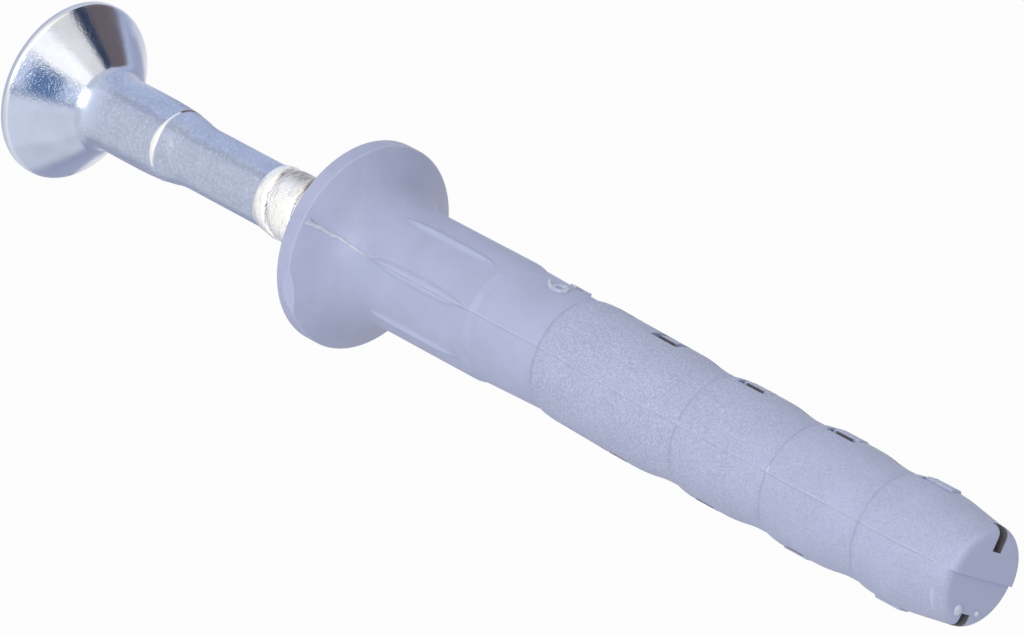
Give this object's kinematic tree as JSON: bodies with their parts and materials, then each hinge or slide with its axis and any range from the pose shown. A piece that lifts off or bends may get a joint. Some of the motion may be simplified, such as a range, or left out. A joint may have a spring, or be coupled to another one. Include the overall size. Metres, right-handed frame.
{
  "type": "hammer fixing plug",
  "caption": "Slit plastic expansion sleeve with a flared collar, ribbed neck and barbed body, holding a countersunk nail screw ready to be hammered in.",
  "frame": {"origin": "on the floor at the middle of the nail's head, on which the plug stands", "axes": "+Z along the plug's axis towards the closed tip; the mould's parting plane is X = 0, and the side of the picture is -Y"},
  "size_m": [0.0102, 0.0102, 0.0611],
  "materials": {
    "sleeve_plastic": "matte moulded, spark-eroded barbs",
    "plated_steel": "satin zinc plate"
  },
  "bodies": {
    "sleeve": {"expansion_sleeve": "sleeve_plastic"},
    "nail": {"nail_screw": "plated_steel"}
  },
  "joints": [
    {"name": "nail_drive", "type": "slide", "parent": "sleeve", "child": "nail", "axis": [0, 0, 1], "range_m": [0, 0.02079], "deforming": ["expansion_sleeve"]}
  ]
}
